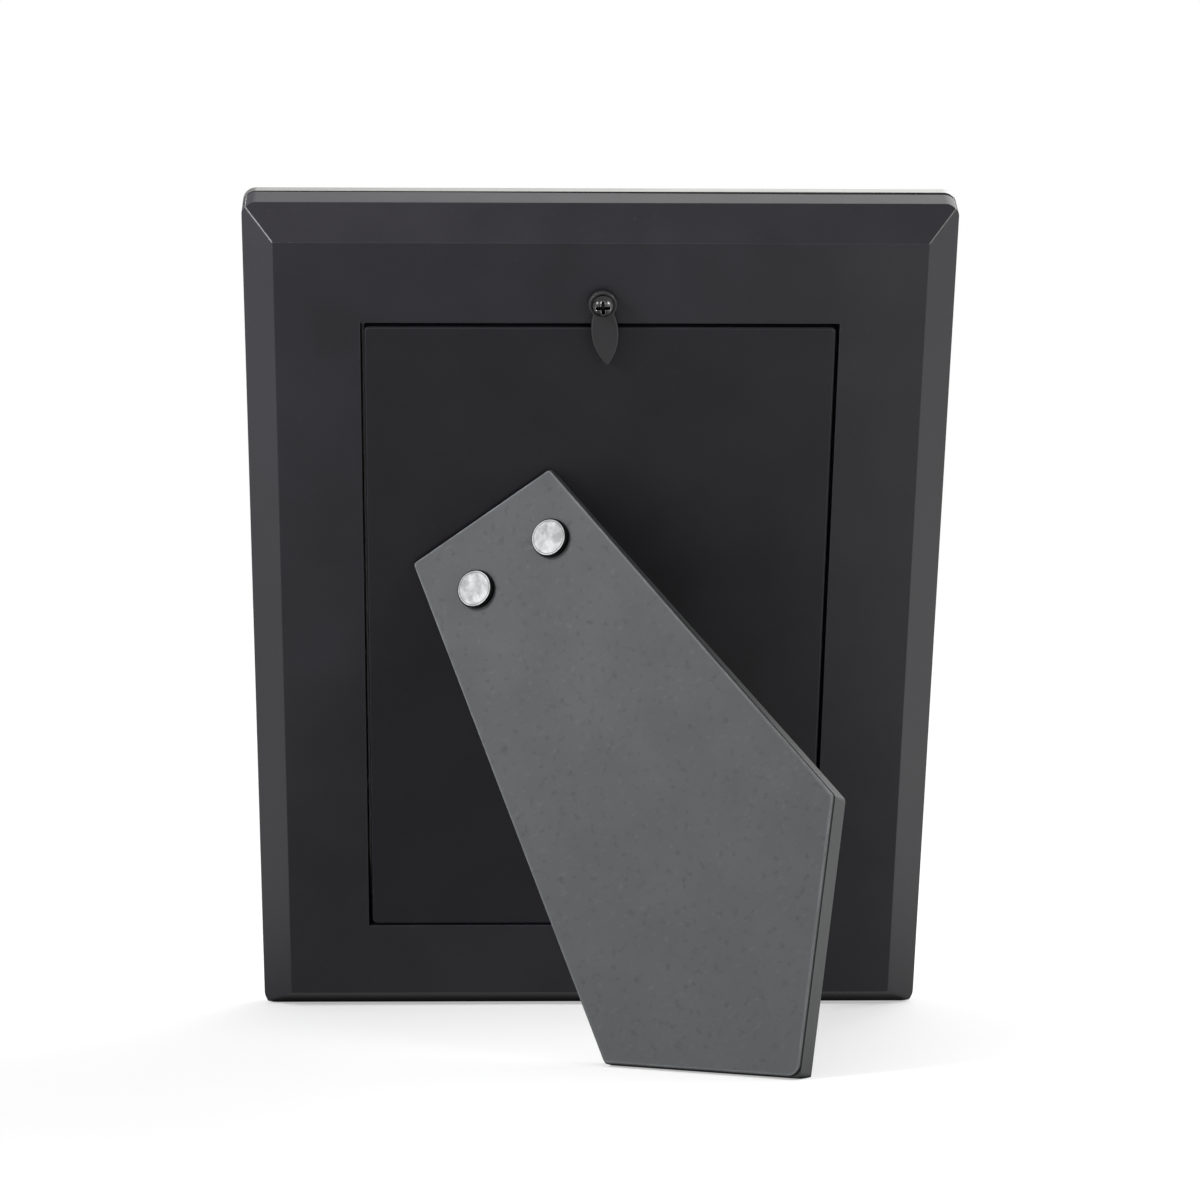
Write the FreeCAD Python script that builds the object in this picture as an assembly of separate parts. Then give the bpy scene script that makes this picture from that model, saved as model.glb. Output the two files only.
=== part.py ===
"""Easel back photo frame for a 4 x 6 inch print, standing on its leg in portrait.

Every piece is built in the frame's own plane: x runs to the right as seen from behind,
y runs up the frame from its lower edge, and z points out of the back, with z = 0 on the
flat back ring. The leg's pieces are built along the leg: x down the leg, y along the
hinge pin, z out of the leg's face, with the pin's axis as origin line. At the end the
whole part is leaned back onto the table, +Z up, back towards -Y.
"""

import FreeCAD, Part

import math
import os

from FreeCAD import Placement, Rotation, Vector

# Overrun of every cut, and the size of a block that is larger than the part
over = 1.0
far = 400.0

# Print and glass
print_width = 101.6
print_height = 152.4
print_thickness = 0.25
glass_thickness = 2.0
glass_gap = 0.5
board_thickness = 1.6
board_gap = 0.6
pad_gap = 1.0
pad_squeeze_gap = 0.05

# Black shell: opening, flat ring, mitred bevel and side wall
opening_side_play = 1.7
opening_end_play = 2.25
ring_side_width = 18.7
ring_end_width = 19.05
bevel_width = 6.8
bevel_depth = 6.2
side_wall_depth = 5.6
corner_radius = 3.0
hip_radius = 0.5
groove_height = 0.6
locating_lip_height = 1.2

# Silver front
front_rim_height = 2.4
front_sheet = 0.8
front_edge_radius = 0.7
front_fit_gap = 0.1
window_overlap = 3.0
window_corner_radius = 1.0
window_bevel = 0.5

# Removable panel
panel_thickness = 3.0
panel_sink = 0.15
panel_side_gap = 0.78
panel_top_gap = 1.1
panel_bottom_gap = 0.5
panel_corner_radius = 1.2
panel_edge_chamfer = 0.3
tongue_width = 12.0
tongue_reach = 1.6
tongue_thickness = 1.0
tongue_spacing = 60.0
tongue_slot_gap = 0.15

# Turn button, its washer and its screw
screw_above_opening = 5.1
screw_right_of_middle = 0.45
button_turned_by = 4.6
button_thickness = 1.1
button_length = 14.8
button_end_radius = 3.1
button_neck_down = 2.2
button_neck_radius = 1.2
button_belly_half = 2.95
button_belly_down = 6.8
button_tip_radius = 0.4
button_edge_chamfer = 0.2
button_play = 0.05
washer_radius = 2.6
washer_thickness = 0.5
screw_radius = 1.2
screw_fit = 0.05
screw_length = 8.0
screw_head_radius = 2.5
screw_head_height = 1.7
screw_head_rim = 0.6
screw_dome_out_share = 0.72
screw_dome_up_share = 0.82
screw_turned_by = 3
cross_length = 3.2
cross_width = 0.85
cross_depth = 1.2
boss_floor = 1.2

# Easel hinge
hinge_angle = 38.15
open_angle = 48.5
hinge_x = -38.9
hinge_above_opening_middle = 15.8
hinge_inset = 6.0
hinge_width = 30.0
pin_radius = 0.7
pin_fit = 0.05
knuckle_radius = 1.5
knuckle_gap = 0.3
knuckle_count = 5
leaf_thickness = 0.8
leg_leaf_length = 19.0
panel_leaf_length = 15.0
leaf_corner_radius = 1.5
leaf_fit = 0.1
leaf_sink = 0.1
swing_gap = 0.3
stop_gap = 0.05

# Easel leg
lean_angle = 27.1
leg_top_width = 38.95
leg_end_beyond_pin = 2.7
leg_left_flare = 5.28
leg_right_flare = 12.66
leg_foot_length = 45.6
leg_side_edge_angle = 36.32
leg_top_thickness = 1.6
leg_foot_thickness = 5.6
leg_foot_front = 2.4
leg_parallel_length = 20.0
leg_taper_end = 95.0
leg_corner_radius = 0.8
leg_foot_corner_radius = 1.3
face_inset = 0.15
face_thickness = 1.0
face_edge_radius = 0.35
face_top_corner_radius = 0.9
face_side_corner_radius = 1.3
face_foot_corner_radius = 2.6

# Rivets
rivet_head_radius = 4.3
rivet_head_height = 1.5
rivet_edge_chamfer = 0.25
rivet_shank_radius = 1.6
rivet_tail_radius = 2.6
rivet_tail_height = 0.5
rivet_down_leg = 11.85
rivet_first_in = 11.0
rivet_spacing = 20.9
small_rivet_head_radius = 2.0
small_rivet_head_height = 0.6
small_rivet_edge_chamfer = 0.3
small_rivet_shank_radius = 1.0
small_rivet_down = 8.5
small_rivet_spacing = 12.0
small_rivet_counterbore = 0.9

# Places that follow from the sizes above
opening_width = print_width + 2 * opening_side_play
opening_height = print_height + 2 * opening_end_play
ring_outer_width = opening_width + 2 * ring_side_width
ring_outer_height = opening_height + 2 * ring_end_width
outer_width = ring_outer_width + 2 * bevel_width
outer_height = ring_outer_height + 2 * bevel_width
middle_y = outer_height / 2
opening_top = middle_y + opening_height / 2
opening_bottom = middle_y - opening_height / 2
wall_end = -(bevel_depth + side_wall_depth)
groove_depth = front_sheet + front_fit_gap
front_rim_back = wall_end - groove_height
front_face = front_rim_back - front_rim_height
sheet_back = front_face + front_sheet
glass_back = sheet_back + glass_thickness
print_back = glass_back + print_thickness
board_back = print_back + board_thickness
panel_front = -panel_sink - panel_thickness
pin_height = knuckle_radius - panel_sink - leaf_sink - leaf_thickness
leg_inner = knuckle_radius - leaf_thickness
ledge = leg_inner + leg_top_thickness


def block(x_range, y_range, z_range):
    """A box between two values on each axis."""
    size = [high - low for low, high in (x_range, y_range, z_range)]
    corner = Vector(x_range[0], y_range[0], z_range[0])
    return Part.makeBox(size[0], size[1], size[2], corner)


def rectangle(width, height, z):
    """A closed wire centred on the frame's middle line."""
    x = width / 2
    y = height / 2
    corners = [(-x, -y), (x, -y), (x, y), (-x, y)]
    points = [Vector(px, middle_y + py, z) for px, py in corners]
    return Part.makePolygon(points + points[:1])


def slab(width, height, z_low, z_high, radius=0):
    """A rectangular plate, its four upright edges rounded where a radius is given."""
    plate = Part.Face(rectangle(width, height, z_low)).extrude(Vector(0, 0, z_high - z_low))
    if radius:
        plate = round_edges(plate, upright_edges(plate), radius)
    return plate


def upright_edges(solid):
    """The straight edges that run along z."""
    found = []
    for edge in solid.Edges:
        first, last = edge.Vertexes[0].Point, edge.Vertexes[-1].Point
        along = last - first
        if along.Length > 0 and abs(along.z) > math.cos(math.radians(1)) * along.Length:
            found.append(edge)
    return found


def edges_at(solid, z):
    """The edges that lie in a plane of constant z."""
    near = 0.001
    return [edge for edge in solid.Edges
            if abs(edge.BoundBox.ZMin - z) < near and abs(edge.BoundBox.ZMax - z) < near]


def round_edges(solid, edges, radius):
    return solid.makeFillet(radius, edges)


def rounded_outline(corners, z):
    """A closed wire through corners given as (x, y, radius), each turned by a tangent arc."""
    edges = []
    ends = []
    count = len(corners)
    for index, (x, y, radius) in enumerate(corners):
        here = Vector(x, y, z)
        before = Vector(corners[index - 1][0], corners[index - 1][1], z)
        after = Vector(corners[(index + 1) % count][0], corners[(index + 1) % count][1], z)
        to_before = (before - here).normalize()
        to_after = (after - here).normalize()
        half_angle = to_before.getAngle(to_after) / 2
        reach = radius / math.tan(half_angle)
        bisector = (to_before + to_after).normalize()
        middle = here + bisector * (radius / math.sin(half_angle) - radius)
        start = here + to_before * reach
        end = here + to_after * reach
        ends.append((start, end))
        edges.append(Part.Arc(start, middle, end).toShape())
    for index in range(count):
        start = ends[index][1]
        end = ends[(index + 1) % count][0]
        edges.append(Part.LineSegment(start, end).toShape())
    return Part.Wire(Part.__sortEdges__(edges))


def cylinder(radius, z_low, z_high, x=0, y=0):
    return Part.makeCylinder(radius, z_high - z_low, Vector(x, y, z_low))


def rod_along_y(radius, y_low, y_high):
    """A rod on the pin's axis, in the leg's coordinates."""
    return Part.makeCylinder(radius, y_high - y_low, Vector(0, y_low, 0), Vector(0, 1, 0))


# Black shell

def bevelled_block():
    """The outer form: a mitred frustum on a straight wall, corners rounded through both."""
    wide = rectangle(outer_width, outer_height, -bevel_depth)
    narrow = rectangle(ring_outer_width, ring_outer_height, 0)
    bevel = Part.makeLoft([wide, narrow], True, True)
    hips = [edge for edge in bevel.Edges
            if abs(edge.Vertexes[0].Z - edge.Vertexes[-1].Z) > bevel_depth / 2]
    bevel = round_edges(bevel, hips, hip_radius)
    wall = slab(outer_width, outer_height, wall_end, -bevel_depth)
    rounded = slab(outer_width, outer_height, wall_end, 0, corner_radius)
    return bevel.fuse(wall).removeSplitter().common(rounded)


def screw_place():
    """The screw's x and y on the ring."""
    return screw_right_of_middle, opening_top + screw_above_opening


def tongue_places():
    return [-tongue_spacing / 2, tongue_spacing / 2]


def make_back_frame():
    body = bevelled_block()
    lip_width = outer_width - 2 * groove_depth
    lip_height = outer_height - 2 * groove_depth
    lip_end = front_rim_back - locating_lip_height
    lip = slab(lip_width, lip_height, lip_end, wall_end, corner_radius - groove_depth)
    body = body.fuse(lip).removeSplitter()
    opening = slab(opening_width, opening_height, lip_end - over, over)
    body = body.cut(opening)
    slot_top = -panel_sink - panel_thickness + tongue_thickness + tongue_slot_gap
    slot_bottom = -panel_sink - panel_thickness - tongue_slot_gap
    for place in tongue_places():
        half = tongue_width / 2 + tongue_slot_gap
        depth = panel_bottom_gap + tongue_reach
        slot = block((place - half, place + half), (opening_bottom - depth, opening_bottom + over),
                     (slot_bottom, slot_top))
        body = body.cut(slot)
    shank = cylinder(screw_radius, screw_bottom() - boss_floor, over, *screw_place())
    return body.cut(shank)


# Silver front

def make_front_frame():
    """A drawn sheet: a flat border with a window, and a rim that turns back over the shell."""
    border = slab(outer_width, outer_height, front_face, front_rim_back, corner_radius)
    border = round_edges(border, edges_at(border, front_face), front_edge_radius)
    hollow = slab(outer_width - 2 * front_sheet, outer_height - 2 * front_sheet,
                  sheet_back, front_rim_back + over, corner_radius - front_sheet)
    window_width = print_width - 2 * window_overlap
    window_height = print_height - 2 * window_overlap
    window = slab(window_width, window_height, front_face - over, sheet_back + over,
                  window_corner_radius)
    sheet = border.cut(hollow).cut(window)
    window_edges = [edge for edge in edges_at(sheet, front_face)
                    if edge.BoundBox.XMax < print_width / 2 and edge.BoundBox.XMin > -print_width / 2]
    return sheet.makeChamfer(window_bevel, window_edges)


# What lies in the pocket

def make_glass_pane():
    gap = 2 * glass_gap
    return slab(opening_width - gap, opening_height - gap, sheet_back, glass_back)


def make_photo_card():
    return slab(print_width, print_height, glass_back, print_back)


def make_backing_board():
    gap = 2 * board_gap
    return slab(opening_width - gap, opening_height - gap, print_back, board_back)


def make_filler_pad():
    gap = 2 * pad_gap
    top = panel_front - pad_squeeze_gap
    return slab(opening_width - gap, opening_height - gap, board_back, top)


# Hinge frame: the pin's axis seen from the frame, and the leg's coordinates on it

def hinge_placement():
    origin = Vector(hinge_x, middle_y + hinge_above_opening_middle, pin_height)
    return Placement(origin, Rotation(Vector(0, 0, 1), hinge_angle - 90))


def leg_placement():
    swing = Placement(Vector(0, 0, 0), Rotation(Vector(0, 1, 0), -open_angle))
    return hinge_placement().multiply(swing)


def knuckle_span(index):
    """The low and high y of one knuckle."""
    length = (hinge_width - (knuckle_count - 1) * knuckle_gap) / knuckle_count
    low = hinge_inset + index * (length + knuckle_gap)
    return low, low + length


def hinge_leaf(length, bottom, own, pin_hole):
    """A flat leaf beside the pin with its own knuckles, notched round the other leaf's."""
    top = bottom + leaf_thickness
    hinge_end = hinge_inset + hinge_width
    plate = block((0, length), (hinge_inset, hinge_end), (bottom, top))
    far_edges = [edge for edge in upright_edges(plate) if edge.Vertexes[0].X > length / 2]
    plate = round_edges(plate, far_edges, leaf_corner_radius)
    notch_reach = knuckle_radius + swing_gap
    for index in range(knuckle_count):
        low, high = knuckle_span(index)
        if index % 2 == own:
            plate = plate.fuse(rod_along_y(knuckle_radius, low, high))
            continue
        cut_low = low - knuckle_gap if index > 0 else low - over
        cut_high = high + knuckle_gap if index < knuckle_count - 1 else high + over
        plate = plate.cut(block((-over, notch_reach), (cut_low, cut_high), (bottom - over, top + over)))
    hole = rod_along_y(pin_hole, hinge_inset - over, hinge_end + over)
    return plate.removeSplitter().cut(hole)


def leg_rivet_places():
    return [(rivet_down_leg, rivet_first_in), (rivet_down_leg, rivet_first_in + rivet_spacing)]


def small_rivet_places():
    middle = hinge_inset + hinge_width / 2
    half = small_rivet_spacing / 2
    return [(small_rivet_down, middle - half), (small_rivet_down, middle + half)]


def panel_leaf_top():
    return -knuckle_radius + leaf_thickness


def make_panel_hinge_leaf():
    leaf = hinge_leaf(panel_leaf_length, -knuckle_radius, 0, pin_radius)
    for x, y in small_rivet_places():
        leaf = leaf.cut(cylinder(small_rivet_shank_radius, -knuckle_radius - over, over, x, y))
    leaf.Placement = hinge_placement()
    return leaf


def make_leg_hinge_leaf():
    leaf = hinge_leaf(leg_leaf_length, leg_inner, 1, pin_radius + pin_fit)
    for x, y in leg_rivet_places():
        leaf = leaf.cut(cylinder(rivet_shank_radius, leg_inner - over, ledge + over, x, y))
    leaf.Placement = leg_placement()
    return leaf


def make_hinge_pin():
    pin = rod_along_y(pin_radius, hinge_inset, hinge_inset + hinge_width)
    pin.Placement = hinge_placement()
    return pin


# Removable panel

def make_back_panel():
    half = opening_width / 2 - panel_side_gap
    bottom = opening_bottom + panel_bottom_gap
    top = opening_top - panel_top_gap
    plate = block((-half, half), (bottom, top), (panel_front, -panel_sink))
    plate = round_edges(plate, upright_edges(plate), panel_corner_radius)
    plate = plate.makeChamfer(panel_edge_chamfer, edges_at(plate, -panel_sink))
    for place in tongue_places():
        tongue = block((place - tongue_width / 2, place + tongue_width / 2),
                       (bottom - tongue_reach, bottom + over),
                       (panel_front, panel_front + tongue_thickness))
        plate = plate.fuse(tongue)
    return plate.cut(hinge_recess())


def hinge_recess():
    """The pocket for the panel's hinge leaf, deeper under the turning knuckles."""
    y_range = (hinge_inset - leaf_fit, hinge_inset + hinge_width + leaf_fit)
    recess = block((0, panel_leaf_length + leaf_fit), y_range, (-knuckle_radius, over))
    reach = knuckle_radius + swing_gap
    knuckle_pocket = block((-reach, reach), y_range, (-reach, over))
    for index in range(0, knuckle_count, 2):
        seat = block((0, reach), knuckle_span(index), (-reach - over, -knuckle_radius))
        knuckle_pocket = knuckle_pocket.cut(seat)
    recess = recess.fuse(knuckle_pocket)
    bottom = panel_front - pin_height
    for x, y in small_rivet_places():
        recess = recess.fuse(cylinder(small_rivet_shank_radius, bottom - over, over, x, y))
        recess = recess.fuse(cylinder(small_rivet_head_radius, bottom - over,
                                      bottom + small_rivet_counterbore, x, y))
    recess.Placement = hinge_placement()
    return recess


def make_panel_rivets():
    rivets = []
    bottom = panel_front - pin_height
    for x, y in small_rivet_places():
        head_low = panel_leaf_top()
        head_high = head_low + small_rivet_head_height
        head = cylinder(small_rivet_head_radius, head_low, head_high, x, y)
        head = head.makeChamfer(small_rivet_edge_chamfer, edges_at(head, head_high))
        shank = cylinder(small_rivet_shank_radius, bottom + small_rivet_counterbore / 2, head_low, x, y)
        tail = cylinder(small_rivet_head_radius, bottom + small_rivet_counterbore / 2,
                        bottom + small_rivet_counterbore, x, y)
        rivets.append(head.fuse(shank).fuse(tail))
    group = Part.makeCompound(rivets)
    group.Placement = hinge_placement()
    return group


# Easel leg

def portrait_table():
    """The table under the standing frame: a point on it and its upward normal."""
    lean = math.radians(lean_angle)
    return Vector(0, 0, -bevel_depth), Vector(0, math.cos(lean), -math.sin(lean))


def in_leg(plane):
    """The same plane in the open leg's coordinates."""
    point, normal = plane
    inverse = leg_placement().inverse()
    return inverse.multVec(point), inverse.Rotation.multVec(normal)


def trace(plane, z):
    """Where a plane meets the level z: a, b, c of the line a * x + b * y = c."""
    point, normal = plane
    return normal.x, normal.y, normal.dot(point) - normal.z * z


def moved_in(line, inset):
    """The same line moved by the inset towards its upper side."""
    a, b, c = line
    return a, b, c + inset * math.hypot(a, b)


def crossing(line, other):
    a, b, c = line
    d, e, f = other
    det = a * e - b * d
    return Vector((c * e - b * f) / det, (a * f - c * d) / det, 0)


def leg_side_lines():
    """The leg's two long sides, as lines whose upper side is the leg."""
    left = math.radians(leg_left_flare)
    right = math.radians(leg_right_flare)
    left_line = (math.sin(left), math.cos(left), -leg_end_beyond_pin * math.sin(left))
    right_line = (math.sin(right), -math.cos(right),
                  -leg_end_beyond_pin * math.sin(right) - leg_top_width * math.cos(right))
    return left_line, right_line


def leg_foot_lines():
    """The foot's front edge, a little over the table, and the slanted edge that ends it."""
    a, b, c = trace(in_leg(portrait_table()), ledge - leg_foot_front)
    along = Vector(b, -a, 0).normalize()
    if along.y < 0:
        along = -along
    end = crossing(leg_side_lines()[0], (a, b, c)) + along * leg_foot_length
    turn = math.radians(leg_side_edge_angle)
    inward = Vector(-math.sin(turn), -math.cos(turn), 0)
    return (a, b, c), (inward.x, inward.y, inward.dot(end))


def leg_corners(inset, radii):
    """The corners of the leg's face, from its upper left one round to its foot."""
    left, right = leg_side_lines()
    foot, slanted = leg_foot_lines()
    top = (1, 0, -leg_end_beyond_pin)
    lines = [moved_in(side, inset) for side in (left, top, right, slanted, foot)]
    places = [crossing(line, lines[(index + 1) % len(lines)]) for index, line in enumerate(lines)]
    return [(place.x, place.y, radius) for place, radius in zip(places, radii)]


def below(plane, lift=0):
    """A block on the lower side of a plane."""
    point, normal = plane
    solid = Part.makeBox(far, far, far, Vector(-far / 2, -far / 2, -far))
    solid.Placement = Placement(point + normal * lift, Rotation(Vector(0, 0, 1), normal))
    return solid


def panel_plane():
    """The panel's outer face, where the leg's upper end comes to rest."""
    return Vector(0, 0, -panel_sink), Vector(0, 0, 1)


def make_leg_body():
    """The board: thin at the hinge, thicker at the foot, which is cut to lie on the table."""
    radii = [leg_corner_radius, leg_corner_radius, leg_foot_corner_radius,
             leg_foot_corner_radius, leg_corner_radius]
    board = Part.Face(rounded_outline(leg_corners(0, radii), ledge)).extrude(Vector(0, 0, -far))
    foot_inner = ledge - leg_foot_thickness
    side = [(-far, leg_inner), (leg_parallel_length, leg_inner), (leg_taper_end, foot_inner),
            (far, foot_inner), (far, ledge), (-far, ledge)]
    profile = Part.makePolygon([Vector(x, -far, z) for x, z in side + side[:1]])
    body = board.common(Part.Face(profile).extrude(Vector(0, 2 * far, 0)))
    body = body.cut(below(in_leg(portrait_table())))
    body = body.cut(below(in_leg(panel_plane()), stop_gap))
    y_range = (hinge_inset - swing_gap, hinge_inset + hinge_width + swing_gap)
    reach = knuckle_radius + swing_gap
    body = body.cut(rod_along_y(reach, *y_range))
    body = body.cut(block((-far, reach), y_range, (-far, 0)))
    leaf_range = (hinge_inset - leaf_fit, hinge_inset + hinge_width + leaf_fit)
    body = body.cut(block((0, leg_leaf_length + leaf_fit), leaf_range,
                          (leg_inner - over, leg_inner + leaf_thickness)))
    for x, y in leg_rivet_places():
        body = body.cut(cylinder(rivet_shank_radius, -far, ledge + over, x, y))
    body.Placement = leg_placement()
    return body


def make_leg_face():
    radii = [face_top_corner_radius, face_top_corner_radius, face_side_corner_radius,
             face_foot_corner_radius, face_side_corner_radius]
    outline = rounded_outline(leg_corners(face_inset, radii), ledge)
    plate = Part.Face(outline).extrude(Vector(0, 0, face_thickness))
    plate = round_edges(plate, edges_at(plate, ledge + face_thickness), face_edge_radius)
    for x, y in leg_rivet_places():
        plate = plate.cut(cylinder(rivet_shank_radius, ledge - over, ledge + face_thickness + over, x, y))
    plate.Placement = leg_placement()
    return plate


def make_leg_rivets():
    rivets = []
    seat = ledge + face_thickness
    for x, y in leg_rivet_places():
        head = cylinder(rivet_head_radius, seat, seat + rivet_head_height, x, y)
        head = head.makeChamfer(rivet_edge_chamfer, edges_at(head, seat + rivet_head_height))
        shank = cylinder(rivet_shank_radius, leg_inner, seat, x, y)
        tail = cylinder(rivet_tail_radius, leg_inner - rivet_tail_height, leg_inner, x, y)
        rivets.append(head.fuse(shank).fuse(tail))
    group = Part.makeCompound(rivets)
    group.Placement = leg_placement()
    return group


# Turn button

def button_bottom():
    return washer_thickness + button_play


def head_bottom():
    return button_bottom() + button_thickness + button_play


def screw_bottom():
    return head_bottom() - screw_length


def make_turn_button():
    """A leaf: a round end on the screw and a blade of two long arcs that meet in a tip."""
    neck_x = math.sqrt(button_end_radius ** 2 - button_neck_down ** 2)
    neck = Vector(neck_x, -button_neck_down, 0)
    other_neck = Vector(-neck_x, -button_neck_down, 0)
    belly = Vector(button_belly_half, -button_belly_down, 0)
    other_belly = Vector(-button_belly_half, -button_belly_down, 0)
    tip = Vector(0, -button_length, 0)
    edges = [
        Part.Arc(other_neck, Vector(0, button_end_radius, 0), neck).toShape(),
        Part.Arc(neck, belly, tip).toShape(),
        Part.Arc(tip, other_belly, other_neck).toShape(),
    ]
    leaf = Part.Face(Part.Wire(edges)).extrude(Vector(0, 0, button_thickness))
    necks = [edge for edge in upright_edges(leaf) if abs(edge.Vertexes[0].X) > neck_x / 2]
    leaf = round_edges(leaf, necks, button_neck_radius)
    tips = [edge for edge in upright_edges(leaf) if abs(edge.Vertexes[0].X) < neck_x / 2]
    leaf = round_edges(leaf, tips, button_tip_radius)
    leaf = leaf.makeChamfer(button_edge_chamfer, edges_at(leaf, button_thickness))
    leaf = leaf.cut(cylinder(screw_radius + screw_fit, -over, button_thickness + over))
    turn = Rotation(Vector(0, 0, 1), button_turned_by)
    leaf.Placement = Placement(Vector(*screw_place(), button_bottom()), turn)
    return leaf


def make_turn_button_washer():
    disc = cylinder(washer_radius, 0, washer_thickness, *screw_place())
    return disc.cut(cylinder(screw_radius, -over, washer_thickness + over, *screw_place()))


def make_turn_button_screw():
    """A pan head turned from its profile, with a cross recess, on a plain shank."""
    rim = Vector(screw_head_radius, 0, 0)
    rim_top = Vector(screw_head_radius, 0, screw_head_rim)
    crown = Vector(0, 0, screw_head_height)
    dome = Vector(screw_head_radius * screw_dome_out_share, 0,
                  screw_head_height * screw_dome_up_share)
    edges = [
        Part.LineSegment(Vector(0, 0, 0), rim).toShape(),
        Part.LineSegment(rim, rim_top).toShape(),
        Part.Arc(rim_top, dome, crown).toShape(),
        Part.LineSegment(crown, Vector(0, 0, 0)).toShape(),
    ]
    head = Part.Face(Part.Wire(edges)).revolve(Vector(0, 0, 0), Vector(0, 0, 1), 360)
    half = cross_length / 2
    for turned in (0, 90):
        slot = block((-half, half), (-cross_width / 2, cross_width / 2),
                     (screw_head_height - cross_depth, screw_head_height + over))
        slot.Placement = Placement(Vector(0, 0, 0), Rotation(Vector(0, 0, 1), turned + screw_turned_by))
        head = head.cut(slot)
    shank = cylinder(screw_radius, -screw_length, 0)
    screw = head.fuse(shank)
    screw.Placement = Placement(Vector(*screw_place(), head_bottom()), Rotation())
    return screw


def stand(shape):
    """Lean the frame back about its lower rear edge, so that the edge and the foot meet z = 0."""
    lean = Placement(Vector(0, 0, 0), Rotation(Vector(1, 0, 0), 90 + lean_angle))
    to_edge = Placement(Vector(0, 0, bevel_depth), Rotation())
    placed = shape.copy()
    placed.Placement = lean.multiply(to_edge).multiply(placed.Placement)
    return placed


makers = {
    "back_frame": make_back_frame,
    "front_frame": make_front_frame,
    "glass_pane": make_glass_pane,
    "photo_card": make_photo_card,
    "backing_board": make_backing_board,
    "filler_pad": make_filler_pad,
    "back_panel": make_back_panel,
    "turn_button": make_turn_button,
    "turn_button_washer": make_turn_button_washer,
    "turn_button_screw": make_turn_button_screw,
    "panel_hinge_leaf": make_panel_hinge_leaf,
    "hinge_pin": make_hinge_pin,
    "panel_rivets": make_panel_rivets,
    "leg_hinge_leaf": make_leg_hinge_leaf,
    "leg_body": make_leg_body,
    "leg_face": make_leg_face,
    "leg_rivets": make_leg_rivets,
}


def main():
    os.makedirs("parts", exist_ok=True)
    nodes = {name: stand(maker()) for name, maker in makers.items()}
    box = Part.makeCompound(list(nodes.values())).optimalBoundingBox()
    foot = Vector((box.XMin + box.XMax) / 2, (box.YMin + box.YMax) / 2, box.ZMin)
    for name, shape in nodes.items():
        shape.translate(-foot)
        shape.exportStep("parts/" + name + ".step")


main()
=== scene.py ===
"""The looks of the easel back photo frame: finishes, floor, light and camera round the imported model.

Every object is in metres in the model's own frame: +Z up, the frame's back towards -Y.
"""

import math

import bmesh
import bpy
from mathutils import Euler, Matrix, Vector, noise


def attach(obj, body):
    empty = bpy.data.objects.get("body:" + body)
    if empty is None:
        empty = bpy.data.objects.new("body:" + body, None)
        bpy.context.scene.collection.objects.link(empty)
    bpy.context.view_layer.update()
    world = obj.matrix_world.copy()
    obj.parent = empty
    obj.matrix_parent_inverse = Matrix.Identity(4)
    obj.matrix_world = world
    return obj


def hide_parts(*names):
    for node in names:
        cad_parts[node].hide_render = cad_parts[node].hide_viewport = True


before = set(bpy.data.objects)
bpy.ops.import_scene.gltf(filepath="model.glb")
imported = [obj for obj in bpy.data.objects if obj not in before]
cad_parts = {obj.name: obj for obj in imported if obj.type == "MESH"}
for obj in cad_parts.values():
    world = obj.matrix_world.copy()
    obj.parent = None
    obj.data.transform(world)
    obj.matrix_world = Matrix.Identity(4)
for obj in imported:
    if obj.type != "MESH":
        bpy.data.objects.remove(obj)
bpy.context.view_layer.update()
millimetre = 0.001

# Angles in degrees: the frame's lean, the hinge's turn on the back and the leg's opening
lean_angle = 27.1
hinge_angle = 38.15
leg_open_angle = 48.5

# Camera: place in metres, turn in degrees, lens and sensor in millimetres, nearest point in metres
camera_place = (-0.02561, -0.94003, 0.12669)
camera_turn = (88.288, -0.064, -1.602)
camera_lens = 125.34
sensor_width = 36.0
camera_clip = 0.01

# Sky: its strength at the horizon, overhead and as the camera sees it
sky_low = 0.44
sky_high = 0.66
background_white = 1.0

# Glows in the sky: towards, inner angle, outer angle, strength
sky_glows = [
    ((0.55, 0.50, 0.67), 5, 45, 2.6),
    ((0.97, 0.1, 0.2), 15, 60, 0.28),
    ((-0.97, 0.1, 0.2), 15, 60, 0.12),
]

# Floor as the camera sees it: half its side, its colour and the share of it that takes shadows
floor_half = 3.0
floor_white = 1.0
floor_shadow_share = 0.60

# Floor in gloss: its colour by the object and to each side, paler to the sides as painted light, and where
# it turns from one to the other
floor_gloss = 0.04
floor_left_gloss = 0.47
floor_right_gloss = 0.66
floor_left_reach = (0.08, 0.13)
floor_right_reach = (0.045, 0.13)

# Floor in gloss: its painted glow in the open, how near to the object it fades as painted shade, and from
# what openness
floor_gloss_glow = 0.40
floor_crease = 0.002
floor_open = (0.1, 0.9)

# Floor in the light that it throws back on the object: its colour
floor_bounce = 0.55

# Lamps: name, place, what they aim at, size, power, spread, whether gloss shows them
lamps = [
    ("left_box", (-0.68, -0.70, 0.10), (0, 0, 0.08), 0.30, 2.0, 180, True),
    ("right_box", (0.68, -0.70, 0.10), (0, 0, 0.08), 0.30, 3.3, 180, True),
    ("near_left", (-0.32, -0.23, 0.345), (-0.05, -0.03, 0.160), 0.12, 0.27, 50, False),
]

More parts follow.
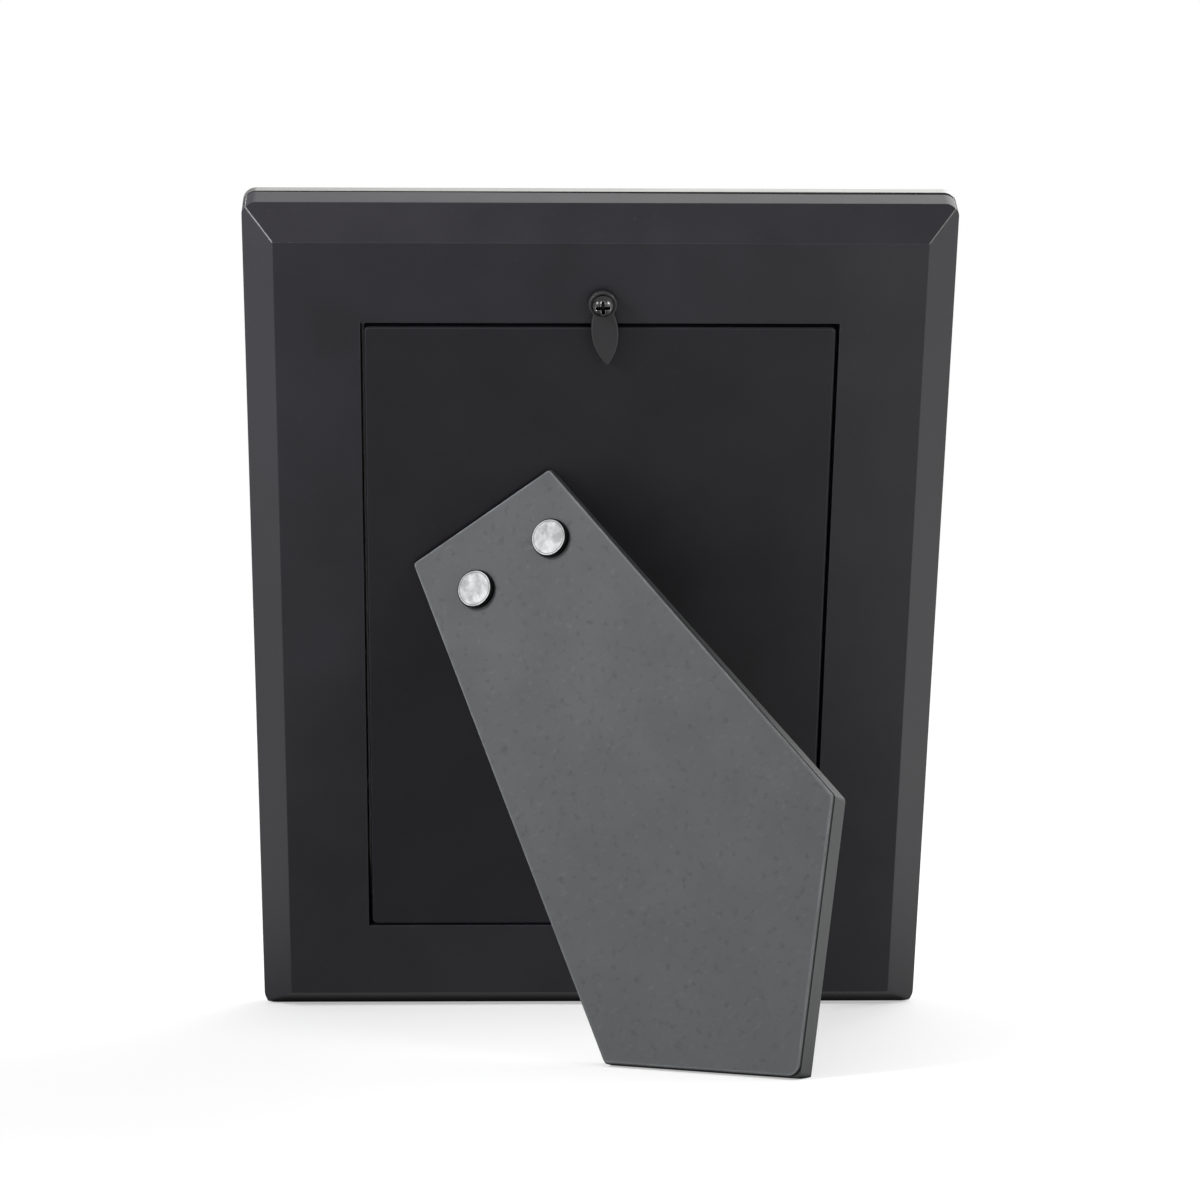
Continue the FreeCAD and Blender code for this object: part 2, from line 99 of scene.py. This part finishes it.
# Colours
shell_black = (0.0112, 0.0104, 0.0132)
panel_black = (0.0062, 0.0058, 0.0077)
button_black = (0.0165, 0.0163, 0.0178)
# The next colour is a painted highlight along the upper mitres
mitre_highlight = (0.14, 0.14, 0.14)
leg_grey = (0.0477, 0.0498, 0.0521)
board_grey = (0.034, 0.035, 0.0355)
bare_silver = (0.35, 0.35, 0.34)
rivet_silver = (0.86, 0.87, 0.88)
# The next colour is painted shade on the leg rivets' chamfers and sides
rivet_shade_black = (0.008, 0.008, 0.008)
screw_grey = (0.085, 0.085, 0.085)
zinc_grey = (0.55, 0.55, 0.55)
glass_tints = ((0.97, 0.99, 0.98), (0.985, 0.995, 0.99))
paper_white = (0.86, 0.86, 0.85)
card_grey = (0.36, 0.34, 0.31)
foam_white = (0.72, 0.72, 0.70)

# Shell bevels: their width, and the painted highlight line where they meet, from its middle to its faded
# side
bevel_width = 6.8 * millimetre
mitre_line = (0.10 * millimetre, 0.26 * millimetre)

# Shell seam: the depth of its painted shade on the left and right, between which half widths it changes,
# and its soft side
seam_depths = (1.8 * millimetre, 2.45 * millimetre)
seam_turn = (-0.5, 0.6)
seam_softness = 0.05 * millimetre

# Rounding of the edges that the light meets, by what they are made of
plastic_rounding = 0.3 * millimetre
board_rounding = 0.25 * millimetre
metal_rounding = 0.15 * millimetre

# Leg: how wide the painted highlight on its plate's rim is, and how far the painted shade reaches out of
# its board's creases
cover_highlight_width = 0.7 * millimetre
board_crease_shade = 1.2 * millimetre

# Leg rivets: the painted shade in the crease round them, and the painted shade on their chamfer with its
# soft side
rivet_crease_shade = 0.25 * millimetre
rivet_chamfer = 0.27 * millimetre
rivet_chamfer_softness = 0.06 * millimetre

# Leg rivets: how far in their scribed line lies, and that line from its middle to its faded side
rivet_line_in = 0.62 * millimetre
rivet_line = (0.05 * millimetre, 0.16 * millimetre)

# Screw: how far the painted shade reaches out of its recess
screw_recess_shade = 2.2 * millimetre

# Insert: its clearance off the glass, how far it waves, how many waves there are, and its grid
insert_clearance = 0.04 * millimetre
insert_wave = 0.015 * millimetre
insert_waves = (2, 3)
insert_cells = (12, 18)

# Spans that the finishes share: of a noise, of a whole mask, of one that falls, of facing, of openness
noise_span = (0.3, 0.7)
whole = (0.0, 1.0)
falling = (1.0, 0.0)
facing_span = (0.05, 0.3)
open_span = (0.35, 0.8)

# Samples of the nodes that look round a point: rounded edges, creases, and the floor by the object
rounding_samples = 6
crease_samples = 6
floor_crease_samples = 4


def turned(angle, axis):
    """A turn by degrees round an axis."""
    return Matrix.Rotation(math.radians(angle), 3, axis)


# The axes of the frame's back and of the open leg: x, y and outwards
frame_axes = turned(90 + lean_angle, "X")
leg_axes = frame_axes @ turned(hinge_angle - 90, "Z") @ turned(-leg_open_angle, "Y")


def spans(node, axes):
    """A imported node's lowest and highest places along the given axes."""
    places = [axes.transposed() @ vertex.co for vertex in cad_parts[node].data.vertices]
    return [Vector([limit(place[i] for place in places) for i in range(3)]) for limit in (min, max)]


def shade(color, share):
    """A colour made darker or paler."""
    return tuple(min(1.0, channel * share) for channel in color)


class Graph:
    """A node tree, with short calls for the nodes that the finishes, floor and sky share."""

    def __init__(self, tree):
        self.tree = tree

    def node(self, kind, **settings):
        made = self.tree.nodes.new(kind)
        for key, value in settings.items():
            setattr(made, key, value)
        return made

    def link(self, source, target):
        self.tree.links.new(source, target)

    def place(self, axes=None, stretch=(1, 1, 1)):
        """Object coordinates, measured along the given axes and stretched."""
        coordinate = self.node("ShaderNodeTexCoord")
        mapping = self.node("ShaderNodeMapping", vector_type="POINT")
        if axes is not None:
            mapping.inputs["Rotation"].default_value = axes.inverted().to_euler()
        scaled = self.node("ShaderNodeVectorMath", operation="MULTIPLY")
        scaled.inputs[1].default_value = stretch
        self.link(coordinate.outputs["Object"], mapping.inputs["Vector"])
        self.link(mapping.outputs["Vector"], scaled.inputs[0])
        return scaled.outputs["Vector"]

    def noise(self, vector, scale, detail=2.0, roughness=0.5):
        made = self.node("ShaderNodeTexNoise")
        made.inputs["Scale"].default_value = scale
        made.inputs["Detail"].default_value = detail
        made.inputs["Roughness"].default_value = roughness
        self.link(vector, made.inputs["Vector"])
        return made.outputs["Fac"]

    def ramp(self, value, span, result=whole):
        """A value carried from one span to another, held at the ends."""
        made = self.node("ShaderNodeMapRange", clamp=True)
        made.inputs["From Min"].default_value, made.inputs["From Max"].default_value = span
        made.inputs["To Min"].default_value, made.inputs["To Max"].default_value = result
        self.link(value, made.inputs["Value"])
        return made.outputs["Result"]

    def maths(self, operation, first, second=0.0):
        made = self.node("ShaderNodeMath", operation=operation)
        for socket, value in zip(made.inputs, (first, second)):
            if isinstance(value, (int, float)):
                socket.default_value = value
            else:
                self.link(value, socket)
        return made.outputs["Value"]

    def mix(self, share, first, second):
        """A colour between two, each a socket or a colour."""
        made = self.node("ShaderNodeMix", data_type="RGBA")
        self.link(share, made.inputs["Factor"])
        for socket, value in ((made.inputs["A"], first), (made.inputs["B"], second)):
            if isinstance(value, tuple):
                socket.default_value = (*value, 1.0)
            else:
                self.link(value, socket)
        return made.outputs["Result"]

    def stain(self, base, value, span, strength, color):
        """The base with a colour laid over it as the value rises through the span."""
        return self.mix(self.ramp(value, span, (0.0, strength)), base, color)

    def along(self, source, direction):
        """How far a vector points along a fixed direction."""
        product = self.node("ShaderNodeVectorMath", operation="DOT_PRODUCT")
        self.link(source, product.inputs[0])
        product.inputs[1].default_value = Vector(direction).normalized()
        return product.outputs["Value"]

    def away_from(self, points, axes):
        """The distance to the nearest of the points, measured along the first two axes."""
        flat = self.place(axes, (1, 1, 0))
        nearest = 1.0
        for point in points:
            gap = self.node("ShaderNodeVectorMath", operation="DISTANCE")
            self.link(flat, gap.inputs[0])
            gap.inputs[1].default_value = point
            nearest = self.maths("MINIMUM", gap.outputs["Value"], nearest)
        return nearest

    def off_middle(self, place, middle):
        """How far a place is from a middle, along the first two axes."""
        offset = self.node("ShaderNodeVectorMath", operation="SUBTRACT")
        self.link(place, offset.inputs[0])
        offset.inputs[1].default_value = middle
        size = self.node("ShaderNodeVectorMath", operation="ABSOLUTE")
        self.link(offset.outputs["Vector"], size.inputs[0])
        parts = self.node("ShaderNodeSeparateXYZ")
        self.link(size.outputs["Vector"], parts.inputs["Vector"])
        return parts.outputs["X"], parts.outputs["Y"]

    def facing(self, direction):
        """1 where the piece's own surface faces along the direction either way, 0 on the sides round it."""
        coordinate = self.node("ShaderNodeTexCoord")
        share = self.maths("ABSOLUTE", self.along(coordinate.outputs["Normal"], direction))
        return self.ramp(share, facing_span)

    def rounded_normal(self, radius):
        made = self.node("ShaderNodeBevel", samples=rounding_samples)
        made.inputs["Radius"].default_value = radius
        return made.outputs["Normal"]

    def edge_mask(self, radius, reach):
        """Where the surface turns over an edge: 0 on flats, 1 on the edge."""
        geometry = self.node("ShaderNodeNewGeometry")
        product = self.node("ShaderNodeVectorMath", operation="DOT_PRODUCT")
        self.link(self.rounded_normal(radius), product.inputs[0])
        self.link(geometry.outputs["Normal"], product.inputs[1])
        return self.ramp(product.outputs["Value"], (1.0 - reach, 1.0), falling)

    def openness(self, reach, samples):
        """How open the place is to what lies within reach: 0 deep in a crease, 1 in the open."""
        made = self.node("ShaderNodeAmbientOcclusion", samples=samples)
        made.inputs["Distance"].default_value = reach
        return made.outputs["AO"]

    def creases(self, reach):
        """1 deep in a crease, 0 in the open."""
        return self.ramp(self.openness(reach, crease_samples), open_span, falling)

    def bump(self, height, strength, distance, normal=None):
        made = self.node("ShaderNodeBump")
        made.inputs["Strength"].default_value = strength
        made.inputs["Distance"].default_value = distance
        self.link(height, made.inputs["Height"])
        if normal is not None:
            self.link(normal, made.inputs["Normal"])
        return made.outputs["Normal"]

    def diffuse(self, white):
        """A matt surface, whose whiteness is a number or a socket."""
        made = self.node("ShaderNodeBsdfDiffuse")
        if isinstance(white, float):
            made.inputs["Color"].default_value = (white, white, white, 1.0)
        else:
            self.link(white, made.inputs["Color"])
        return made.outputs["BSDF"]

    def blended(self, share, first, second):
        """A surface between two, by a share that is a number or a socket."""
        made = self.node("ShaderNodeMixShader")
        if isinstance(share, float):
            made.inputs["Fac"].default_value = share
        else:
            self.link(share, made.inputs["Fac"])
        self.link(first, made.inputs[1])
        self.link(second, made.inputs[2])
        return made.outputs["Shader"]


class Finish(Graph):
    """A new material's node tree."""

    def __init__(self, name):
        self.material = bpy.data.materials.new(name)
        self.material.use_nodes = True
        super().__init__(self.material.node_tree)
        self.shader = self.tree.nodes["Principled BSDF"]
        self.output = self.tree.nodes["Material Output"]

    def finish(self, color, roughness, normal, metallic=0.0, specular=0.5):
        self.link(color, self.shader.inputs["Base Color"])
        self.link(roughness, self.shader.inputs["Roughness"])
        self.link(normal, self.shader.inputs["Normal"])
        self.shader.inputs["Metallic"].default_value = metallic
        self.shader.inputs["Specular IOR Level"].default_value = specular
        return self.material


def moulded_plastic(name, color, roughness, edge_highlight_share, specular=0.5, grain=0.4, painted_light=None):
    """Satin moulded plastic: faint clouding, a spark-eroded grain and edges painted paler as a highlight.
    """
    graph = Finish(name)
    place = graph.place()
    clouds = graph.noise(place, scale=45.0, detail=3.0)
    specks = graph.noise(place, scale=900.0, roughness=0.6)
    base = graph.mix(graph.ramp(clouds, noise_span), shade(color, 0.8), shade(color, 1.2))
    base = graph.stain(base, specks, (0.62, 0.8), 0.5, shade(color, 2.2))
    # edges painted paler by the edge share: painted highlight
    edges = graph.edge_mask(plastic_rounding, 0.12)
    base = graph.stain(base, edges, whole, 0.55, shade(color, edge_highlight_share))
    rough = graph.ramp(clouds, noise_span, (roughness - 0.04, roughness + 0.04))
    # the shell lays on its painted light: a painted highlight on the mitres and painted shade along the
    # seam, where it is also rougher
    if painted_light is not None:
        base, seam = painted_light(graph, base, color)
        rough = graph.maths("MAXIMUM", rough, seam)
    grains = graph.noise(place, scale=2600.0, roughness=0.6)
    normal = graph.bump(grains, grain, 0.02 * millimetre, graph.rounded_normal(plastic_rounding))
    return graph.finish(base, rough, normal, specular=specular)


def shell_painted_light(graph, base, color):
    """The shell's colour with painted light laid on, and a mask of the painted shade along the seam by the
    metal front.

    Pale lines are a painted highlight where the upper bevels meet. The seam is painted shade, wider on the
    right.
    """
    low, high = spans("back_frame", frame_axes)
    half = (high - low) / 2
    middle = (low + high) / 2
    place = graph.place(frame_axes)
    across, along = graph.off_middle(place, middle)
    off_mitre = graph.maths("SUBTRACT", graph.maths("SUBTRACT", along, across), half.y - half.x)
    line = graph.ramp(graph.maths("ABSOLUTE", off_mitre), mitre_line, falling)
    on_bevel = graph.maths("GREATER_THAN", across, half.x - bevel_width)
    on_top = graph.maths("GREATER_THAN", graph.along(place, (0, 1, 0)), middle.y)
    patches = graph.ramp(graph.noise(graph.place(), scale=300.0), (0.3, 0.6), (0.55, 1.0))
    # painted highlight: a pale line on the upper mitres, broken into patches
    painted_highlight = graph.maths("MULTIPLY", graph.maths("MULTIPLY", line, on_top), on_bevel)
    base = graph.mix(graph.maths("MULTIPLY", painted_highlight, patches), base, mitre_highlight)
    # painted shade in a band along the seam by the metal front, wider on the right
    sideways = graph.along(place, (1, 0, 0))
    reach = graph.ramp(sideways, [share * half.x for share in seam_turn], seam_depths)
    depth = graph.maths("SUBTRACT", graph.along(place, (0, 0, 1)), low.z)
    past_seam = graph.maths("SUBTRACT", depth, reach)
    seam = graph.ramp(past_seam, (-seam_softness, 0.0), falling)
    return graph.mix(seam, base, shade(color, 0.1)), seam


def leg_cover(name, color, axes, rivets, rivet_radius):
    """The leg's plate: satin grey with light and dark specks, a painted highlight on its rim, and painted
    shade on its sides and round its rivets.
    """
    graph = Finish(name)
    place = graph.place(axes)
    clouds = graph.noise(place, scale=70.0, detail=4.0, roughness=0.6)
    base = graph.mix(graph.ramp(clouds, noise_span), shade(color, 0.9), shade(color, 1.1))
    dark = graph.noise(place, scale=520.0)
    base = graph.stain(base, dark, (0.58, 0.72), 0.5, shade(color, 0.5))
    light = graph.noise(graph.place(axes, (1.3, 0.8, 1.0)), scale=610.0)
    base = graph.stain(base, light, (0.6, 0.76), 0.3, shade(color, 1.8))
    # painted highlight along the plate's rim, broken into patches
    highlight_patches = graph.ramp(graph.noise(place, scale=160.0, detail=3.0), (0.35, 0.65), (0.5, 0.95))
    painted_highlight = graph.maths("MULTIPLY", graph.edge_mask(cover_highlight_width, 0.10), highlight_patches)
    base = graph.mix(painted_highlight, base, shade(color, 5.2))
    # the plate's sides painted near black: painted shade
    base = graph.mix(graph.facing(axes.col[2]), shade(color, 0.03), base)
    # painted shade in a ring round each rivet
    away = graph.away_from(rivets, axes)
    crease = graph.ramp(away, (rivet_radius, rivet_radius + rivet_crease_shade), (0.95, 0.0))
    base = graph.mix(crease, base, shade(color, 0.03))
    rough = graph.ramp(clouds, noise_span, (0.46, 0.50))
    grains = graph.noise(place, scale=1500.0, detail=3.0, roughness=0.65)
    normal = graph.bump(grains, 0.8, 0.03 * millimetre, graph.rounded_normal(plastic_rounding))
    return graph.finish(base, rough, normal)


def leg_board(name, color, axes):
    """The leg's board: grey, with fine streaks that run along its cut sides, edges painted paler as a
    highlight and painted shade in its creases.
    """
    graph = Finish(name)
    layers = graph.noise(graph.place(axes, (0.04, 0.04, 1.0)), scale=2600.0, detail=3.0, roughness=0.6)
    clouds = graph.noise(graph.place(axes), scale=90.0, detail=3.0)
    base = graph.mix(graph.ramp(clouds, noise_span), shade(color, 0.88), shade(color, 1.12))
    base = graph.stain(base, layers, (0.35, 0.7), 0.6, shade(color, 1.6))
    # edges painted paler: painted highlight
    edges = graph.edge_mask(plastic_rounding, 0.14)
    base = graph.stain(base, edges, whole, 0.5, shade(color, 1.7))
    # painted shade in the creases
    base = graph.mix(graph.creases(board_crease_shade), base, shade(color, 0.05))
    rough = graph.ramp(layers, noise_span, (0.46, 0.6))
    normal = graph.bump(layers, 0.35, 0.03 * millimetre, graph.rounded_normal(board_rounding))
    return graph.finish(base, rough, normal, specular=0.3)


def metal(name, color, roughness, stretch, axes, streak=0.3, cloud=0.2, edge=1.0, recess_shade_reach=None):
    """Bare metal: streaks of polishing along one direction, cloudy tarnish, edges painted paler by the edge
    factor as a highlight, and painted shade in recesses.
    """
    graph = Finish(name)
    streaks = graph.noise(graph.place(axes, stretch), scale=1800.0, detail=3.0, roughness=0.6)
    clouds = graph.noise(graph.place(axes), scale=260.0, detail=4.0, roughness=0.6)
    base = graph.mix(graph.ramp(clouds, noise_span), shade(color, 1 - cloud), color)
    # edges painted paler by the edge factor: painted highlight
    edges = graph.edge_mask(metal_rounding, 0.12)
    base = graph.stain(base, edges, whole, 0.8, shade(color, edge))
    # painted shade in the recesses
    if recess_shade_reach is not None:
        base = graph.mix(graph.creases(recess_shade_reach), base, shade(color, 0.04))
    rough = graph.ramp(streaks, noise_span, (roughness * 0.8, roughness * 1.2))
    normal = graph.bump(streaks, streak, 0.01 * millimetre, graph.rounded_normal(metal_rounding))
    return graph.finish(base, rough, normal, metallic=1.0)


def rivet_metal(name, color, axes, centres, radius):
    """A rivet's head: brushed and mottled on its face, a scribed line near its rim, and its chamfer and
    sides painted black as shade.
    """
    graph = Finish(name)
    streaks = graph.noise(graph.place(axes, (0.1, 1.0, 1.0)), scale=1500.0, detail=3.0, roughness=0.6)
    blotches = graph.noise(graph.place(axes), scale=420.0, detail=3.0, roughness=0.6)
    base = graph.mix(graph.ramp(blotches, (0.38, 0.62)), shade(color, 0.68), shade(color, 1.12))
    base = graph.stain(base, streaks, (0.4, 0.7), 0.5, shade(color, 0.85))
    away = graph.away_from(centres, axes)
    off_line = graph.maths("ABSOLUTE", graph.maths("SUBTRACT", away, radius - rivet_line_in))
    base = graph.mix(graph.ramp(off_line, rivet_line, (0.8, 0.0)), base, shade(color, 0.4))
    # painted shade on the chamfer round the head's face
    flat_radius = radius - rivet_chamfer
    chamfer_shade = graph.ramp(away, (flat_radius - rivet_chamfer_softness, flat_radius))
    base = graph.mix(chamfer_shade, base, rivet_shade_black)
    # the head's sides painted black: painted shade
    base = graph.mix(graph.facing(axes.col[2]), rivet_shade_black, base)
    rough = graph.ramp(blotches, noise_span, (0.3, 0.46))
    normal = graph.bump(streaks, 0.5, 0.012 * millimetre, graph.rounded_normal(metal_rounding))
    return graph.finish(base, rough, normal, metallic=1.0)


def clear_glass(name):
    """Clear sheet glass, very slightly wavy."""
    graph = Finish(name)
    waves = graph.noise(graph.place(), scale=9.0, detail=1.0)
    color = graph.mix(graph.ramp(waves, noise_span), *glass_tints)
    rough = graph.ramp(waves, noise_span, (0.0, 0.01))
    normal = graph.bump(waves, 0.05, 0.05 * millimetre)
    graph.shader.inputs["Transmission Weight"].default_value = 1.0
    graph.shader.inputs["IOR"].default_value = 1.5
    return graph.finish(color, rough, normal)


def fibre_board(name, color, spread, scale, roughness):
    """Paper, card and board: short fibres and a soft cloudiness."""
    graph = Finish(name)
    fibres = graph.noise(graph.place(None, (1.0, 0.3, 0.3)), scale, detail=4.0, roughness=0.65)
    clouds = graph.noise(graph.place(), scale=60.0, detail=3.0)
    darker = shade(color, 1 - spread)
    base = graph.mix(graph.ramp(fibres, noise_span), darker, color)
    base = graph.stain(base, clouds, (0.35, 0.7), 0.25, darker)
    rough = graph.ramp(fibres, noise_span, (roughness - 0.05, roughness + 0.05))
    normal = graph.bump(fibres, 0.3, 0.03 * millimetre)
    return graph.finish(base, rough, normal, specular=0.3)


def open_foam(name, color):
    """The filler pad: small round cells."""
    graph = Finish(name)
    cells = graph.node("ShaderNodeTexVoronoi")
    cells.inputs["Scale"].default_value = 900.0
    graph.link(graph.place(), cells.inputs["Vector"])
    depth = graph.ramp(cells.outputs["Distance"], (0.1, 0.6))
    base = graph.mix(depth, shade(color, 0.6), color)
    rough = graph.ramp(depth, whole, (0.95, 0.85))
    normal = graph.bump(depth, 0.6, 0.2 * millimetre)
    return graph.finish(base, rough, normal, specular=0.2)


def dress(node, material):
    """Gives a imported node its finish."""
    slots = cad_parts[node].data.materials
    slots.clear()
    slots.append(material)


def dress_nodes():
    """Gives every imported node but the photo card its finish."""
    dress("back_frame", moulded_plastic("black_shell", shell_black, roughness=0.40, edge_highlight_share=4.5,
                                        specular=0.37, painted_light=shell_painted_light))
    dress("back_panel", moulded_plastic("black_panel", panel_black, roughness=0.46, edge_highlight_share=6.0,
                                        specular=0.33))
    button_metal = moulded_plastic("button_metal", button_black, roughness=0.34, edge_highlight_share=1.6, grain=0.2)
    dress("turn_button", button_metal)
    dress("turn_button_washer", button_metal)
    # the screw's edges are painted far paler as glints, and its recess takes painted shade
    dress("turn_button_screw", metal("screw_metal", screw_grey, 0.2, (1, 1, 1), frame_axes, streak=0.2,
                                     cloud=0.3, edge=9.0, recess_shade_reach=screw_recess_shade))
    dress("front_frame", metal("silver", bare_silver, 0.34, (0.02, 1, 1), frame_axes, streak=0.25,
                               cloud=0.05))
    dress("glass_pane", clear_glass("clear_glass"))
    dress("backing_board", fibre_board("greyboard", card_grey, spread=0.25, scale=1200.0, roughness=0.85))
    dress("filler_pad", open_foam("foam", foam_white))
    zinc = metal("zinc", zinc_grey, 0.34, (0.1, 1, 1), leg_axes)
    for steel_piece in ("panel_hinge_leaf", "leg_hinge_leaf", "hinge_pin"):
        dress(steel_piece, zinc)
    dress("panel_rivets", metal("small_rivet_metal", rivet_silver, 0.34, (1, 1, 1), frame_axes))
    low, high = spans("leg_rivets", leg_axes)
    radius = (high.x - low.x) / 2
    centres = [(low.x + radius, y, 0) for y in (low.y + radius, high.y - radius)]
    dress("leg_rivets", rivet_metal("rivet_metal", rivet_silver, leg_axes, centres, radius))
    dress("leg_face", leg_cover("leg_cover", leg_grey, leg_axes, centres, radius))
    dress("leg_body", leg_board("leg_board", board_grey, leg_axes))


def make_insert():
    """The blank insert: a thin sheet that waves a little.

    It stands a hair off the glass, because faces that touch render with dark bands.
    """
    low, high = spans("photo_card", frame_axes)
    middle = (low + high) / 2
    shape = bmesh.new()
    bmesh.ops.create_grid(shape, x_segments=insert_cells[0], y_segments=insert_cells[1], size=0.5)
    for vertex in shape.verts:
        spot = Vector((insert_waves[0] * vertex.co.x, insert_waves[1] * vertex.co.y, 0))
        wave = insert_wave * noise.noise(spot)
        flat = Vector((vertex.co.x * (high.x - low.x), vertex.co.y * (high.y - low.y), wave))
        vertex.co = frame_axes @ (middle + flat)
    for face in shape.faces:
        face.smooth = True
    mesh = bpy.data.meshes.new("insert_sheet")
    shape.to_mesh(mesh)
    shape.free()
    sheet = bpy.data.objects.new("insert_sheet", mesh)
    bpy.context.scene.collection.objects.link(sheet)
    thickness = sheet.modifiers.new("thickness", "SOLIDIFY")
    thickness.thickness = (high.z - low.z) - 2 * (insert_clearance + insert_wave)
    thickness.offset = 0
    mesh.materials.append(fibre_board("print_paper", paper_white, spread=0.03, scale=1400.0, roughness=0.5))
    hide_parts("photo_card")
    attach(sheet, "frame")


def make_floor():
    """A white floor that melts into the background and keeps the object's soft shadow."""
    corners = [(-floor_half, -floor_half, 0), (floor_half, -floor_half, 0),
               (floor_half, floor_half, 0), (-floor_half, floor_half, 0)]
    mesh = bpy.data.meshes.new("floor")
    mesh.from_pydata(corners, [], [(0, 1, 2, 3)])
    floor = bpy.data.objects.new("floor", mesh)
    bpy.context.scene.collection.objects.link(floor)
    graph = Finish("floor")
    graph.tree.nodes.remove(graph.shader)
    path = graph.node("ShaderNodeLightPath")
    glow = graph.node("ShaderNodeEmission")
    glow.inputs["Strength"].default_value = background_white
    seen = graph.blended(1 - floor_shadow_share, graph.diffuse(floor_white), glow.outputs["Emission"])
    # paler to the left and right in gloss as painted light; near the object the glow fades as painted shade
    across = graph.along(graph.place(), (1, 0, 0))
    leftwards = graph.maths("MULTIPLY", across, -1.0)
    left = graph.ramp(leftwards, floor_left_reach, (0.0, floor_left_gloss - floor_gloss))
    right = graph.ramp(across, floor_right_reach, (floor_gloss, floor_right_gloss))
    faint = graph.node("ShaderNodeEmission")
    opened = graph.openness(floor_crease, floor_crease_samples)
    open_glow = graph.ramp(opened, floor_open, (0.0, floor_gloss_glow))
    graph.link(open_glow, faint.inputs["Strength"])
    in_gloss = graph.node("ShaderNodeAddShader")
    graph.link(graph.diffuse(graph.maths("ADD", left, right)), in_gloss.inputs[0])
    graph.link(faint.outputs["Emission"], in_gloss.inputs[1])
    unseen = graph.blended(path.outputs["Is Glossy Ray"], graph.diffuse(floor_bounce),
                           in_gloss.outputs["Shader"])
    direct = graph.maths("MAXIMUM", path.outputs["Is Camera Ray"], path.outputs["Is Transmission Ray"])
    graph.link(graph.blended(direct, unseen, seen), graph.output.inputs["Surface"])
    mesh.materials.append(graph.material)


def make_sky():
    """Soft white light from all round, with broad glows like studio walls."""
    world = bpy.data.worlds.new("sky")
    bpy.context.scene.world = world
    world.use_nodes = True
    graph = Graph(world.node_tree)
    direction = graph.node("ShaderNodeTexCoord").outputs["Generated"]
    light = graph.ramp(graph.along(direction, (0, 0, 1)), whole, (sky_low, sky_high))
    for towards, inner, outer, strength in sky_glows:
        span = (math.cos(math.radians(outer)), math.cos(math.radians(inner)))
        glow = graph.ramp(graph.along(direction, towards), span, (0.0, strength))
        light = graph.maths("ADD", light, glow)
    path = graph.node("ShaderNodeLightPath")
    shown = graph.node("ShaderNodeMix", data_type="FLOAT")
    graph.link(path.outputs["Is Camera Ray"], shown.inputs["Factor"])
    graph.link(light, shown.inputs["A"])
    shown.inputs["B"].default_value = background_white
    backdrop = graph.tree.nodes["Background"]
    graph.link(shown.outputs["Result"], backdrop.inputs["Strength"])
    backdrop.inputs["Color"].default_value = (1, 1, 1, 1)


def make_lamp(name, place, aim, size, power, spread, in_gloss):
    """A round soft lamp that points at its aim."""
    data = bpy.data.lights.new(name, "AREA")
    data.shape = "DISK"
    data.size = size
    data.energy = power
    data.spread = math.radians(spread)
    lamp = bpy.data.objects.new(name, data)
    lamp.location = place
    lamp.rotation_euler = (Vector(aim) - Vector(place)).to_track_quat("-Z", "Y").to_euler()
    lamp.visible_glossy = in_gloss
    bpy.context.scene.collection.objects.link(lamp)


def make_camera():
    """The camera in the photograph's place."""
    data = bpy.data.cameras.new("camera")
    data.sensor_width = sensor_width
    data.lens = camera_lens
    data.clip_start = camera_clip
    camera = bpy.data.objects.new("camera", data)
    camera.location = camera_place
    camera.rotation_euler = Euler([math.radians(angle) for angle in camera_turn])
    bpy.context.scene.collection.objects.link(camera)
    bpy.context.scene.camera = camera


dress_nodes()
make_insert()
make_floor()
make_sky()
for lamp in lamps:
    make_lamp(*lamp)
make_camera()
bpy.context.scene.view_settings.view_transform = "Standard"
